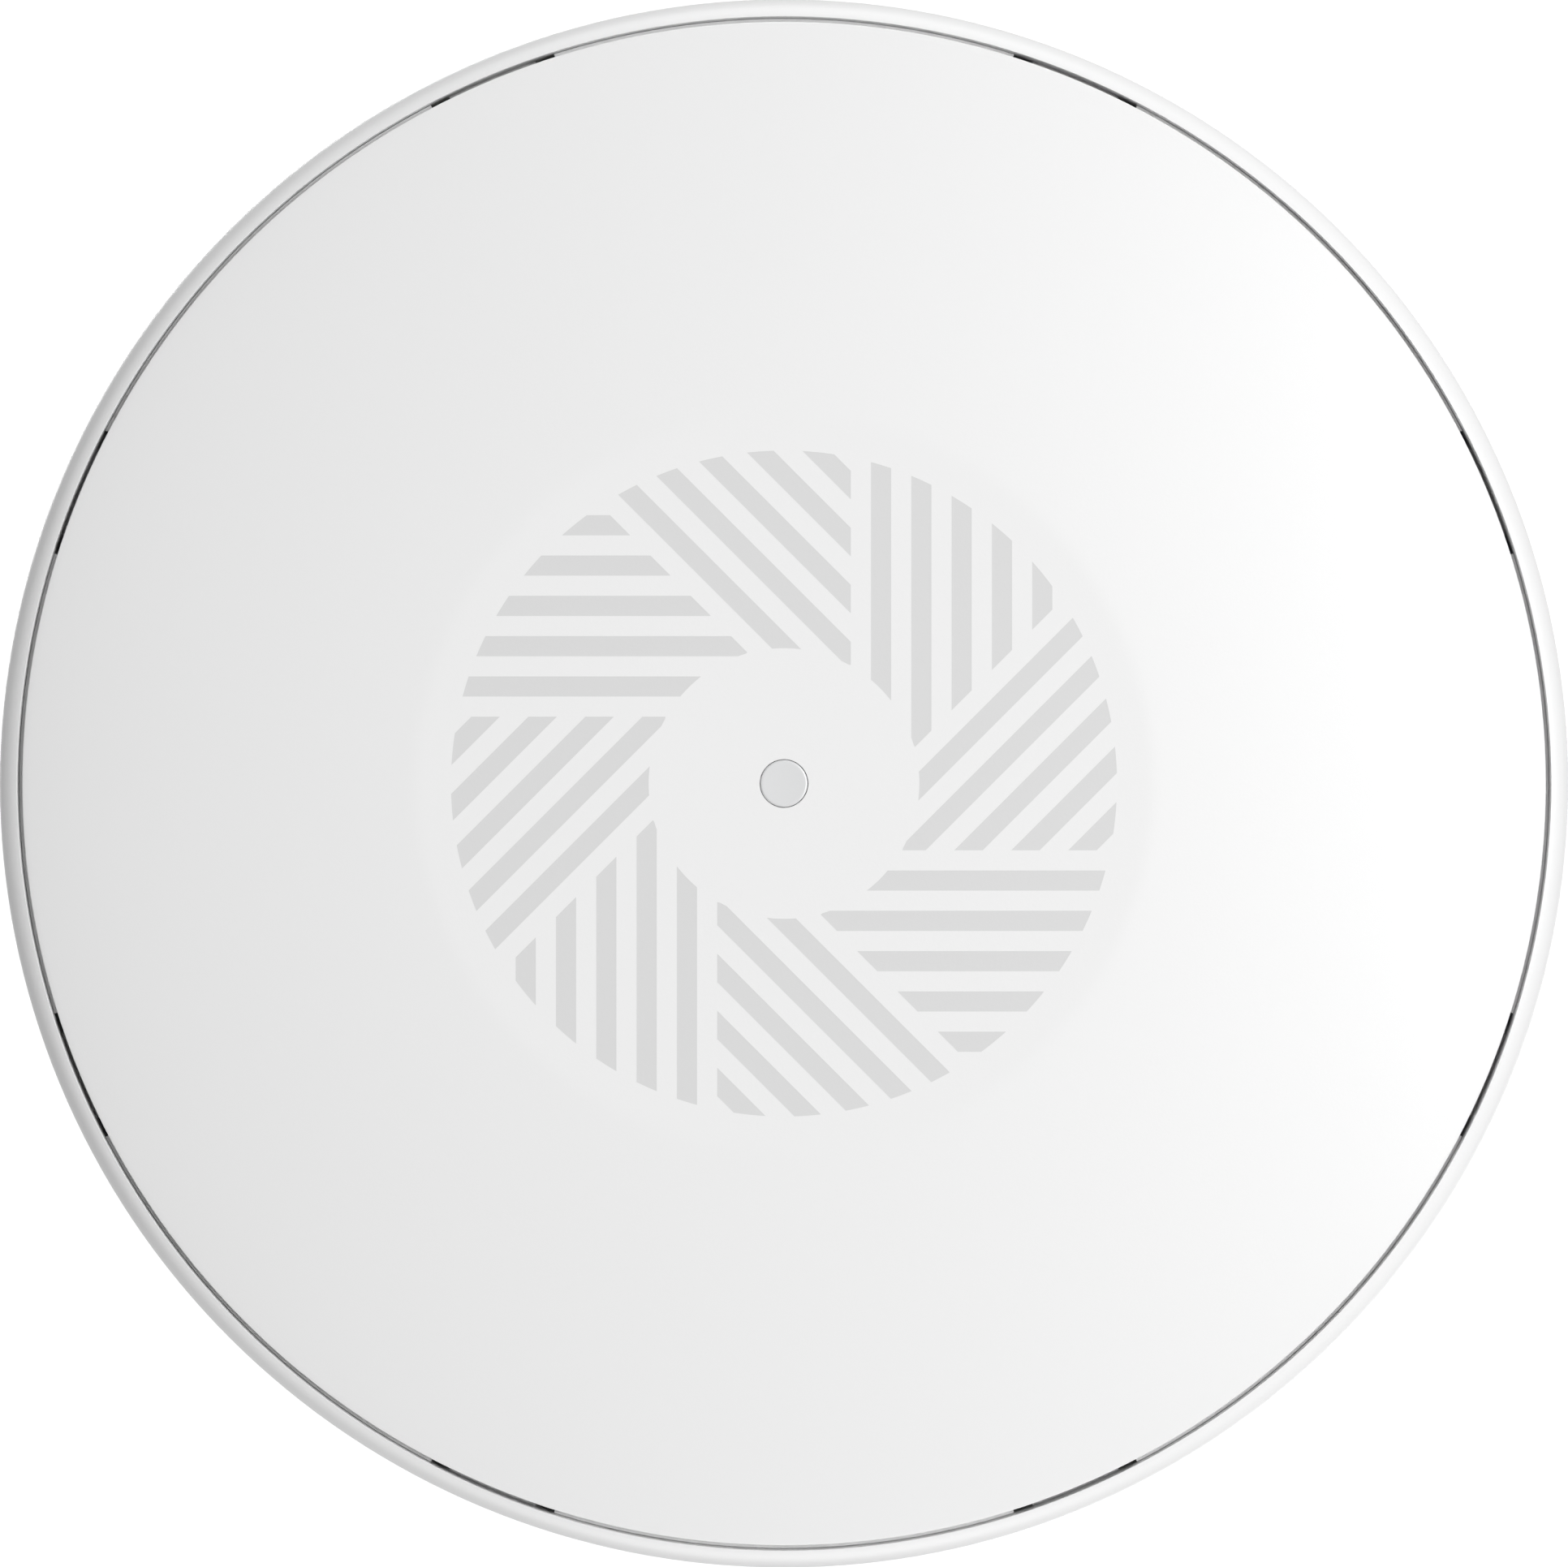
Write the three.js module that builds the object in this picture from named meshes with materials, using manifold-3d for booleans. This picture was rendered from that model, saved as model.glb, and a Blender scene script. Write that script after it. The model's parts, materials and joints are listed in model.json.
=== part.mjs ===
// Ceiling access point: a round Wi-Fi base station that twist-locks onto a ceiling bracket.
// Millimetres, +Z up. The origin is the centre of the ceiling plane; the unit hangs below it and its
// cover faces -Z. The twist lock's catch is on the -Y side, the network sockets on the +Y side.
import * as THREE from 'three';
import { mergeVertices } from 'three/addons/utils/BufferGeometryUtils.js';
import Module from 'manifold-3d';

const wasm = await Module();
wasm.setup();

// ---- Driving dimensions ------------------------------------------------------------------------
const BODY_R = 100; // widest radius, at the rim
const FACE_Z = -38; // flat centre of the cover: the unit hangs this far below the ceiling
const FLAT_R = 46.5; // radius of the cover's flat centre
const COVER_R = 96.7; // visible edge of the cover
const RIM_MOUTH_R = 97.35; // inner wall of the rim around the cover
const GROOVE_STEP_R = 97.2; // flange of the cover that floors the groove
const WALL = 2; // thickness of the moulded shells
const LATHE_STEPS = 64; // facets round the large turned pieces
const SNAPS = 8; // snap hooks and groove slots round the cover
const SNAP_PHASE = 22.5; // degrees from +X to the first snap
const SNAP_SLOT_DEG = 10; // arc of each groove slot
const SNAP_RIB_DEG = 7; // arc of the catch rib seen inside a slot

// Dome of the cover: slope where it leaves the flat, its steady growth, and the extra turn at the edge.
const DOME_SLOPE = 0.045;
const DOME_GROWTH = 0.115;
const DOME_EDGE = 0.07;
const DOME_EDGE_POWER = 6;

// Rim and side wall of the housing.
const LIP_FILLET = 3.6; // radius that rounds the rim into the side wall
const LIP_START_DEG = 18; // tilt at which that rounding starts
const LIP_Z = -32.2; // crest of the rim
const HOUSING_TOP_Z = -3; // leaves a shadow gap to the ceiling
const HOUSING_TOP_R = 88;
const SIDE_POWER = 2.2; // how sharply the bowl curls in towards the ceiling
const INNER_STRAIGHT_Z = -27; // the rim's inner wall is straight up to here

// Back plate, a dished aluminium casting let into the housing.
const PLATE_R = 82.9;
const PLATE_TOP_Z = -3.2;
const PLATE_T = 1.8;
const DISH_R = 66; // the dish that clears the ceiling bracket
const DISH_TOP_Z = -5.5;
const DISH_T = 2;

// Port bay in the back plate.
const BAY = { x0: -22, x1: 24, y0: -18, y1: 34, floor: -19.2 };
const BAY_WALL = 1.5;
const BAY_FLOOR_T = 1.2;

// Printed circuit board.
const BOARD_TOP_Z = -21.3;
const BOARD_T = 1.6;
const BOARD_R = 84;
const BOARD_SCREW_R = 62; // radius of the circle that the board's four screws stand on
const BOARD_SCREW_DEG = [30, 150, 210, 330];

// Network sockets.
const JACK = { w: 16, h: 13.4, l: 21.3, y: 34.2 };
const JACK_X = [-9.5, 8.5];
const SOCKET = { w: 11.8, h: 8.2, depth: 13, tabW: 6.2, tabH: 2.6, sill: 2.2 };

// Reset button.
const RESET = { x: 20.5, z: -13, r: 1.3, hole: 1.6, y: 34.9, travel: 0.8 };

// Ceiling bracket, a pressed steel dish, and the twist lock.
const BRACKET_R = 62;
const BRACKET_HOLE_R = 34;
const BRACKET_T = 1.5;
const BRACKET_Z = -4.5; // underside of the bracket's plate
const STUD_R = 52;
const STUD_DEG = [0, 120, 240];
const UNLOCK_DEG = -15;
const STUD_NECK_R = 2.4;
const STUD_HEAD_R = 4.4;
const CEILING_SLOT_R = 51.5;
const CEILING_SLOT_DEG = [60, 180, 300];

// The catch: a pin on a leaf spring. It sits in a ramped pocket of the back plate, and turning the unit
// towards unlocked makes the ramp lift it.
const PIN = { x: -9.4, y: -50, r: 2, tip: -6.6, lift: 1.3 };
const LEAF = { x0: -13, x1: 13, y0: -54, y1: -46, z0: -2.9, z1: -2.5 };
const RIVET_X = [6, 10.5];

const GAP = 0.3; // clearance between neighbouring pieces

// ---- Solid helpers -----------------------------------------------------------------------------
const rad = THREE.MathUtils.degToRad;

function solid(geometry) {
  const bare = new THREE.BufferGeometry().setAttribute('position', geometry.getAttribute('position'));
  if (geometry.index) bare.setIndex(geometry.index);
  const merged = mergeVertices(bare, 1e-4);
  const triangles = merged.index.array;
  const whole = [];
  for (let i = 0; i < triangles.length; i += 3) {
    const [a, b, c] = [triangles[i], triangles[i + 1], triangles[i + 2]];
    if (a !== b && b !== c && a !== c) whole.push(a, b, c);
  }
  const vertProperties = new Float32Array(merged.attributes.position.array);
  const build = () => new wasm.Manifold(
    new wasm.Mesh({ numProp: 3, vertProperties, triVerts: new Uint32Array(whole) }),
  );
  const made = build();
  if (made.volume() > 0) return made;
  for (let i = 0; i < whole.length; i += 3) [whole[i + 1], whole[i + 2]] = [whole[i + 2], whole[i + 1]];
  return build();
}

function geometryOf(body) {
  const mesh = body.getMesh();
  const positions = new Float32Array(mesh.numVert * 3);
  for (let i = 0; i < mesh.numVert; i += 1) {
    positions.set(mesh.vertProperties.subarray(i * mesh.numProp, i * mesh.numProp + 3), i * 3);
  }
  const geometry = new THREE.BufferGeometry();
  geometry.setAttribute('position', new THREE.BufferAttribute(positions, 3));
  geometry.setIndex(new THREE.BufferAttribute(mesh.triVerts, 1));
  return geometry;
}

// A turned piece about Z. A profile is [r, z] pairs that start and end on the axis, or close on themselves.
function turned(profile, steps = LATHE_STEPS) {
  const points = profile.map(([r, z]) => new THREE.Vector2(r, z));
  const onAxis = profile[0][0] === 0;
  if (!onAxis) points.push(points[0].clone());
  return solid(new THREE.LatheGeometry(points, steps).rotateX(Math.PI / 2));
}

function block(x0, x1, y0, y1, z0, z1) {
  const geometry = new THREE.BoxGeometry(x1 - x0, y1 - y0, z1 - z0);
  return solid(geometry.translate((x0 + x1) / 2, (y0 + y1) / 2, (z0 + z1) / 2));
}

function rod(r, z0, z1, x = 0, y = 0, steps = 24) {
  const geometry = new THREE.CylinderGeometry(r, r, z1 - z0, steps).rotateX(Math.PI / 2);
  return solid(geometry.translate(x, y, (z0 + z1) / 2));
}

function rodAlongY(r, y0, y1, x, z, steps = 20) {
  const geometry = new THREE.CylinderGeometry(r, r, y1 - y0, steps);
  return solid(geometry.translate(x, (y0 + y1) / 2, z));
}

function prism(shape, z0, z1, curveSegments = 6) {
  const options = { depth: z1 - z0, bevelEnabled: false, curveSegments };
  return solid(new THREE.ExtrudeGeometry(shape, options).translate(0, 0, z0));
}

function outline(points) {
  return new THREE.Shape(points.map(([x, y]) => new THREE.Vector2(x, y)));
}

// Part of a ring, centred on an angle in degrees.
function arcBlock(r0, r1, z0, z1, centreDeg, widthDeg, curveSegments = 6) {
  const from = rad(centreDeg - widthDeg / 2);
  const to = rad(centreDeg + widthDeg / 2);
  const shape = new THREE.Shape();
  shape.absarc(0, 0, r1, from, to, false);
  shape.absarc(0, 0, r0, to, from, true);
  return prism(shape, z0, z1, curveSegments);
}

const polar = (r, deg) => [r * Math.cos(rad(deg)), r * Math.sin(rad(deg))];
const united = (first, ...others) => others.reduce((whole, next) => whole.add(next), first);
const cut = (first, ...tools) => tools.reduce((left, tool) => left.subtract(tool), first);
const repeat = (count, make) => Array.from({ length: count }, (_, i) => make(i));

// ---- Materials ---------------------------------------------------------------------------------
function paint(color, roughness, metalness = 0) {
  return new THREE.MeshStandardMaterial({ color, roughness, metalness });
}

const MATERIALS = {
  shell: paint(0xf2f2f1, 0.42),
  inlay: paint(0xdcdcdc, 0.5),
  lens: paint(0xf4f6f7, 0.15),
  casting: paint(0xb9bcbe, 0.55, 0.9),
  steel: paint(0xc4c7c9, 0.4, 1),
  spring: paint(0x9ea2a5, 0.3, 1),
  rubber: paint(0x2b2c2e, 0.85),
  board: paint(0x1d5a3a, 0.5),
  tin: paint(0xc9cccd, 0.35, 1),
  ferrite: paint(0x26272a, 0.6),
  pad: paint(0x8fa3b5, 0.8),
  button: paint(0x6d7276, 0.5),
};

const accessPoint = new THREE.Group();

function piece(name, body, material) {
  const mesh = new THREE.Mesh(geometryOf(body), material);
  mesh.name = name;
  accessPoint.add(mesh);
}

// ---- Cover -------------------------------------------------------------------------------------
// How far the face has risen towards the ceiling at radius r.
function coverRise(r) {
  const span = COVER_R - FLAT_R;
  const s = Math.max(0, (r - FLAT_R) / span);
  const n = DOME_EDGE_POWER + 1;
  return span * (DOME_SLOPE * s + (DOME_GROWTH * s * s) / 2 + (DOME_EDGE * s ** n) / n);
}

const COVER_EDGE_Z = FACE_Z + coverRise(COVER_R);
const GROOVE_Z = COVER_EDGE_Z + 2; // floor of the groove
const FLANGE_BACK_Z = GROOVE_Z + 1.4;
const SKIRT = { outer: 95.6, inner: 94, top: -24.5 };
const RIB = { r: 96.4, z0: -28.2, z1: -26.8 };
const SEAT_Z0 = FLANGE_BACK_Z + GAP;
const LENS_R = 3;
const snapAngle = (i) => SNAP_PHASE + (i * 360) / SNAPS;

// The striped rosette: eight sectors, each bounded by two lines tangent to one small circle and filled
// with bars that run along its own line.
const ROSETTE = { sectors: 8, pitch: 5.08, tangent: 9.69, inner: 17.06, outer: 41.97, rows: 5 };

function rosetteBars(inset, z0, z1) {
  const { sectors, pitch, tangent, inner, outer, rows } = ROSETTE;
  const ring = cut(rod(outer - inset, z0, z1, 0, 0, 64), rod(inner + inset, z0 - 1, z1 + 1, 0, 0, 32));
  const half = pitch / 4;
  const step = (2 * Math.PI) / sectors;
  const bars = [];
  for (let sector = 0; sector < sectors; sector += 1) {
    for (let row = 0; row < rows; row += 1) {
      // In the sector's own frame u is the distance out from its line, and v runs along it.
      const u0 = tangent + half + row * pitch + inset;
      const u1 = u0 + 2 * half - 2 * inset;
      // The next sector's line, u cos(step) + v sin(step) = tangent, ends the bar short by half a gap.
      const endAt = (u) => (tangent - half - inset - u * Math.cos(step)) / Math.sin(step);
      const bar = outline([[u0, endAt(u0)], [u0, -outer], [u1, -outer], [u1, endAt(u1)]]);
      const geometry = new THREE.ExtrudeGeometry(bar, { depth: z1 - z0, bevelEnabled: false });
      geometry.translate(0, 0, z0).rotateZ(sector * step);
      bars.push(solid(geometry));
    }
  }
  return united(...bars).intersect(ring);
}

function frontCover() {
  const domeRadii = [60, 74, 86, 93];
  const dome = domeRadii.map((r) => [r, FACE_Z + coverRise(r)]);
  const inside = [86, 70];
  const shell = turned([
    [0, FACE_Z],
    [FLAT_R, FACE_Z],
    ...dome,
    [COVER_R, COVER_EDGE_Z],
    [COVER_R, GROOVE_Z],
    [GROOVE_STEP_R, GROOVE_Z],
    [GROOVE_STEP_R, FLANGE_BACK_Z],
    [SKIRT.outer, FLANGE_BACK_Z],
    [SKIRT.outer, SKIRT.top],
    [SKIRT.inner, SKIRT.top],
    [SKIRT.inner, FACE_Z + WALL + coverRise(SKIRT.inner)],
    ...inside.map((r) => [r, FACE_Z + WALL + coverRise(r)]),
    [FLAT_R, FACE_Z + WALL],
    [0, FACE_Z + WALL],
  ]);
  const hooks = repeat(SNAPS, (i) => arcBlock(95, 96.9, RIB.z1 + GAP, SKIRT.top, snapAngle(i), 6, 2));
  const slots = repeat(SNAPS, (i) =>
    arcBlock(SKIRT.outer + 0.1, 98.5, GROOVE_Z - 0.01, FLANGE_BACK_Z + 1, snapAngle(i), SNAP_SLOT_DEG, 2));
  const windows = rosetteBars(0, FACE_Z - 1, FACE_Z + WALL + 1);
  const lensHole = rod(LENS_R + 0.15, FACE_Z - 1, FACE_Z + WALL + 1, 0, 0, 24);
  return cut(united(cut(shell, ...slots), ...hooks), windows, lensHole);
}

function stripeInlay() {
  const backing = cut(rod(45, FACE_Z + WALL + 0.1, FACE_Z + WALL + 1.3, 0, 0, 40),
    rod(14, FACE_Z, FACE_Z + 5, 0, 0, 24));
  return backing.add(rosetteBars(0.12, FACE_Z, FACE_Z + WALL + 0.5));
}

piece('front_cover', frontCover(), MATERIALS.shell);
piece('stripe_inlay', stripeInlay(), MATERIALS.inlay);
piece('status_lens', rod(LENS_R, FACE_Z, FACE_Z + WALL, 0, 0, 24), MATERIALS.lens);

// ---- Housing -----------------------------------------------------------------------------------
const FILLET_R = BODY_R - LIP_FILLET; // centre of the rim's rounding
const FILLET_Z = LIP_Z + LIP_FILLET * Math.cos(rad(LIP_START_DEG));
const FLANGE_TOP_Z = -5.6; // rebate that the back plate and its gasket lie in
const FLANGE_R = 77;
const FLANGE_Z = -7.4;
const REBATE_R = 83.2;
const BACK_SCREW_R = 80;
const BACK_SCREW_DEG = [45, 135, 225, 315];
const BACK_BOSS_Z = -14;

// Outer radius of the side wall at height z.
function sideR(z) {
  const t = (z - FILLET_Z) / (HOUSING_TOP_Z - FILLET_Z);
  return BODY_R - (BODY_R - HOUSING_TOP_R) * t ** SIDE_POWER;
}

function rimHousing() {
  const lip = [0, 0.4, 1].map((k) => {
    const tilt = rad(LIP_START_DEG + k * (90 - LIP_START_DEG));
    return [FILLET_R + LIP_FILLET * Math.sin(tilt), FILLET_Z - LIP_FILLET * Math.cos(tilt)];
  });
  const outer = [-19, -10, -4.6].map((z) => [sideR(z), z]);
  const inner = [-11, -18].map((z) => [sideR(z) - WALL, z]);
  const shell = turned([
    [RIM_MOUTH_R, LIP_Z + 0.4],
    ...lip,
    ...outer,
    [HOUSING_TOP_R - 0.9, HOUSING_TOP_Z],
    [REBATE_R, HOUSING_TOP_Z],
    [REBATE_R, FLANGE_TOP_Z],
    [FLANGE_R, FLANGE_TOP_Z],
    [FLANGE_R, FLANGE_Z],
    [sideR(FLANGE_Z) - WALL - 0.6, FLANGE_Z],
    ...inner,
    [RIM_MOUTH_R, INNER_STRAIGHT_Z],
  ]);
  const ribs = repeat(SNAPS, (i) => arcBlock(RIB.r, 98.4, RIB.z0, RIB.z1, snapAngle(i), SNAP_RIB_DEG, 2));
  const seats = repeat(SNAPS, (i) => arcBlock(RIB.r, 98.4, SEAT_Z0, RIB.z1, (i * 360) / SNAPS, 18, 4));
  const bosses = BACK_SCREW_DEG.map((deg) =>
    rod(3.4, BACK_BOSS_Z, FLANGE_TOP_Z, ...polar(BACK_SCREW_R, deg), 14));
  const pilots = BACK_SCREW_DEG.map((deg) =>
    rod(1.5, BACK_BOSS_Z + 1, 0, ...polar(BACK_SCREW_R, deg), 12));
  return cut(united(shell, ...ribs, ...seats, ...bosses), ...pilots);
}

function gasket() {
  const ring = turned([[78, -5.55], [82, -5.55], [82, -5.05], [78, -5.05]]);
  return cut(ring, ...BACK_SCREW_DEG.map((deg) => rod(1.7, -6, -4, ...polar(BACK_SCREW_R, deg), 12)));
}

piece('rim_housing', rimHousing(), MATERIALS.shell);
piece('back_gasket', gasket(), MATERIALS.rubber);

// ---- Back plate --------------------------------------------------------------------------------
const FINS = 36; // radial cooling grooves
const JACK_FIT = 0.3;

// A block bent round the axis. Its floor climbs evenly from the locked angle to the unlocked one, where
// it meets the plate.
function catchRamp() {
  const r = Math.hypot(PIN.x, PIN.y);
  const locked = THREE.MathUtils.radToDeg(Math.atan2(PIN.y, PIN.x));
  const room = THREE.MathUtils.radToDeg((PIN.r + 0.4) / r);
  const from = locked - room;
  const sweep = room - UNLOCK_DEG + room;
  const geometry = new THREE.BoxGeometry(2 * PIN.r + 1.2, 1, 1, 1, 8, 1);
  const position = geometry.getAttribute('position');
  for (let i = 0; i < position.count; i += 1) {
    const angle = from + (position.getY(i) + 0.5) * sweep;
    const climb = Math.max(0, (angle - locked) / -UNLOCK_DEG) * PIN.lift;
    const [x, y] = polar(r + position.getX(i), angle);
    position.setXYZ(i, x, y, position.getZ(i) > 0 ? DISH_TOP_Z + 1 : PIN.tip - 0.25 + climb);
  }
  return solid(geometry);
}

function jackX(i, side) {
  return JACK_X[i] + (side * JACK.w) / 2;
}

function backPlate() {
  const dish = turned([
    [0, DISH_TOP_Z],
    [DISH_R, DISH_TOP_Z],
    [DISH_R + 1.5, PLATE_TOP_Z],
    [PLATE_R, PLATE_TOP_Z],
    [PLATE_R, PLATE_TOP_Z - PLATE_T],
    [DISH_R + 3.5, PLATE_TOP_Z - PLATE_T],
    [DISH_R + 2, DISH_TOP_Z - DISH_T],
    [0, DISH_TOP_Z - DISH_T],
  ]);
  const bayBox = block(BAY.x0 - BAY_WALL, BAY.x1 + BAY_WALL, BAY.y0 - BAY_WALL, BAY.y1 + BAY_WALL,
    BAY.floor - BAY_FLOOR_T, DISH_TOP_Z - 0.5);
  const bay = block(BAY.x0, BAY.x1, BAY.y0, BAY.y1, BAY.floor, DISH_TOP_Z + 1);
  const jackHoles = JACK_X.map((x, i) => block(jackX(i, -1) - JACK_FIT, jackX(i, 1) + JACK_FIT,
    BAY.y1 - 0.5, BAY.y1 + BAY_WALL + 1, BAY.floor - BAY_FLOOR_T - 1, DISH_TOP_Z - DISH_T - 0.1));
  const resetHole = rodAlongY(RESET.hole, BAY.y1 - 1, BAY.y1 + BAY_WALL + 1, RESET.x, RESET.z, 16);
  const grooves = repeat(FINS, (i) => {
    const groove = new THREE.BoxGeometry(7.4, 4, 2).translate(73.1, 0, PLATE_TOP_Z);
    return solid(groove.rotateZ(rad((i + 0.5) * (360 / FINS))));
  });
  const screwHoles = BACK_SCREW_DEG.map((deg) => rod(1.7, -8, 0, ...polar(BACK_SCREW_R, deg), 12));
  const studHoles = STUD_DEG.map((deg) => rod(1.9, -9, 0, ...polar(STUD_R, deg), 12));
  const standoffs = BOARD_SCREW_DEG.map((deg) =>
    rod(3.2, BOARD_TOP_Z + 0.1, DISH_TOP_Z - 0.5, ...polar(BOARD_SCREW_R, deg), 14));
  const threads = BOARD_SCREW_DEG.map((deg) =>
    rod(1.5, BOARD_TOP_Z - 1, BOARD_TOP_Z + 8, ...polar(BOARD_SCREW_R, deg), 12));
  const body = united(cut(dish, ...grooves), bayBox, ...standoffs);
  return cut(body, bay, ...jackHoles, resetHole, ...screwHoles, ...studHoles, ...threads, catchRamp());
}

piece('back_plate', backPlate(), MATERIALS.casting);

// A pan-head screw that enters upwards (+1) or downwards (-1) at height z, with a slot across its head.
function screw(x, y, z, up, head, headT, shank, length) {
  const span = (a, b) => [Math.min(a, b), Math.max(a, b)];
  const headBody = rod(head, ...span(z, z - up * headT), x, y, 16);
  const shankBody = rod(shank, ...span(z - up * 0.2, z + up * length), x, y, 10);
  const top = z - up * headT;
  const slot = block(x - head, x + head, y - 0.4, y + 0.4, top - 0.6, top + 0.6);
  return cut(headBody.add(shankBody), slot);
}

BACK_SCREW_DEG.forEach((deg, i) => {
  const [x, y] = polar(BACK_SCREW_R, deg);
  piece(`back_screw_${i + 1}`, screw(x, y, PLATE_TOP_Z + 0.05, -1, 2.8, 1.3, 1.3, 8), MATERIALS.steel);
});

// ---- Twist studs and pads ----------------------------------------------------------------------
STUD_DEG.forEach((deg, i) => {
  const [x, y] = polar(STUD_R, deg);
  const neck = rod(STUD_NECK_R, DISH_TOP_Z + 0.05, -2.6, x, y, 16);
  const head = rod(STUD_HEAD_R, -2.7, -1, x, y, 20);
  const shank = rod(1.6, DISH_TOP_Z - DISH_T - 0.4, DISH_TOP_Z + 0.1, x, y, 12);
  piece(`twist_stud_${i + 1}`, united(neck, head, shank), MATERIALS.steel);
});

CEILING_SLOT_DEG.forEach((deg, i) => {
  const [x, y] = polar(57.5, deg);
  piece(`bumper_pad_${i + 1}`, rod(2.6, DISH_TOP_Z + 0.05, DISH_TOP_Z + 0.7, x, y, 16), MATERIALS.rubber);
});

// ---- Circuit board and what stands on it -------------------------------------------------------
const BOARD_BOTTOM_Z = BOARD_TOP_Z - BOARD_T;
const UP = BOARD_TOP_Z + 0.05; // pieces on the ceiling side stand here
const DOWN = BOARD_BOTTOM_Z - 0.05; // pieces on the room side hang from here

function mainBoard() {
  const holes = BOARD_SCREW_DEG.map((deg) => rod(1.7, -30, 0, ...polar(BOARD_SCREW_R, deg), 12));
  return cut(rod(BOARD_R, BOARD_BOTTOM_Z, BOARD_TOP_Z, 0, 0, 48), ...holes);
}

piece('main_board', mainBoard(), MATERIALS.board);
BOARD_SCREW_DEG.forEach((deg, i) => {
  const [x, y] = polar(BOARD_SCREW_R, deg);
  piece(`board_screw_${i + 1}`, screw(x, y, DOWN, 1, 2.8, 1.6, 1.25, 8), MATERIALS.steel);
});

// A screening can: a lid with a step round its foot.
function can(x, y, w, l, h) {
  const lid = block(x - w / 2, x + w / 2, y - l / 2, y + l / 2, UP, UP + h);
  const foot = block(x - w / 2 - 0.5, x + w / 2 + 0.5, y - l / 2 - 0.5, y + l / 2 + 0.5, UP, UP + 1.2);
  return lid.add(foot);
}

const SOC = { y: -45, size: 30, h: 3 };
piece('processor_can', can(0, SOC.y, SOC.size, SOC.size, SOC.h), MATERIALS.tin);
[-1, 1].forEach((side, i) => {
  piece(`radio_can_${i + 1}`, can(side * 47, 0, 26, 24, 3), MATERIALS.tin);
});
const PAD_Z = UP + SOC.h + 0.05;
const PAD_T = 1;
piece('thermal_pad', block(-12, 12, SOC.y - 12, SOC.y + 12, PAD_Z, PAD_Z + PAD_T), MATERIALS.pad);

function heatSpreader() {
  const top = DISH_TOP_Z - DISH_T - 0.05;
  const slab = block(-15, 15, SOC.y - 14, SOC.y + 14, PAD_Z + PAD_T + 0.05, top);
  const channels = repeat(4, (i) => {
    const y = SOC.y - 9 + i * 6;
    return block(-20, 20, y - 1.3, y + 1.3, PAD_Z + PAD_T + 3, top - 1.5);
  });
  return cut(slab, ...channels);
}

piece('heat_spreader', heatSpreader(), MATERIALS.casting);

function networkJack(i) {
  const x = JACK_X[i];
  const shell = block(jackX(i, -1), jackX(i, 1), JACK.y, JACK.y + JACK.l, UP, UP + JACK.h);
  const z0 = UP + SOCKET.sill;
  const z1 = z0 + SOCKET.h;
  const recess = (w, from, to) => block(x - w / 2, x + w / 2, JACK.y - 1, JACK.y + SOCKET.depth, from, to);
  const mouth = recess(SOCKET.w, z0, z1);
  const tab = recess(SOCKET.tabW, z1 - 0.5, z1 + SOCKET.tabH - 0.8);
  return cut(shell, mouth, tab);
}

piece('uplink_jack', networkJack(0), MATERIALS.tin);
piece('lan_jack', networkJack(1), MATERIALS.tin);

// The pulse transformer and supply parts behind the sockets.
piece('lan_transformer', block(-17, -2, 58, 70, UP, UP + 6), MATERIALS.ferrite);
const supplyCore = block(27, 43, 40, 56, UP, UP + 9);
const supplyWinding = block(29, 41, 38.5, 57.5, UP + 2, UP + 7);
piece('supply_transformer', supplyCore.add(supplyWinding), MATERIALS.ferrite);
[[-33, 42], [-33, 54]].forEach(([x, y], i) => {
  piece(`capacitor_${i + 1}`, united(rod(4.2, UP, UP + 1, x, y, 20), rod(4, UP + 0.9, UP + 11, x, y, 20)),
    MATERIALS.tin);
});
piece('reset_switch', block(RESET.x - 3, RESET.x + 3, 42.4, 46.4, UP, RESET.z + 3), MATERIALS.ferrite);

function resetButton() {
  const stem = rodAlongY(RESET.r, RESET.y, 41.3, RESET.x, RESET.z, 14);
  const collar = rodAlongY(2.3, 36.2, 37.4, RESET.x, RESET.z, 14);
  return stem.add(collar);
}

piece('reset_button', resetButton(), MATERIALS.button);

// A stamped antenna: a plate held off the board by a shorting leg, with a narrow feed leg beside it.
function antenna(deg, length, width) {
  const sheet = 0.6;
  const r = 70;
  const low = DOWN - 8;
  const plate = block(r - width / 2, r + width / 2, -length / 2, length / 2, low, low + sheet);
  const short = block(r - width / 2, r + width / 2, -length / 2, -length / 2 + sheet, low, DOWN);
  const feed = block(r + width / 2 - 2, r + width / 2, -length / 2 + 5, -length / 2 + 5 + sheet, low, DOWN);
  return united(plate, short, feed).rotate([0, 0, deg]);
}

[0, 60, 120, 180, 240, 300].forEach((deg, i) => {
  const wide = i % 2 === 0;
  const name = wide ? `antenna_2g_${i / 2 + 1}` : `antenna_5g_${(i + 1) / 2}`;
  piece(name, antenna(deg, wide ? 30 : 18, wide ? 11 : 8), MATERIALS.tin);
});

// Status light: the lamp on the board and the guide that carries its light to the lens.
piece('status_led', block(-1.6, 1.6, -1.4, 1.4, DOWN - 1, DOWN), MATERIALS.lens);
piece('light_guide', turned([
  [0, FACE_Z + WALL + 0.2],
  [2.7, FACE_Z + WALL + 0.2],
  [3.1, -27],
  [5.2, -26.2],
  [5.2, DOWN - 1.1],
  [0, DOWN - 1.1],
], 16), MATERIALS.lens);

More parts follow.
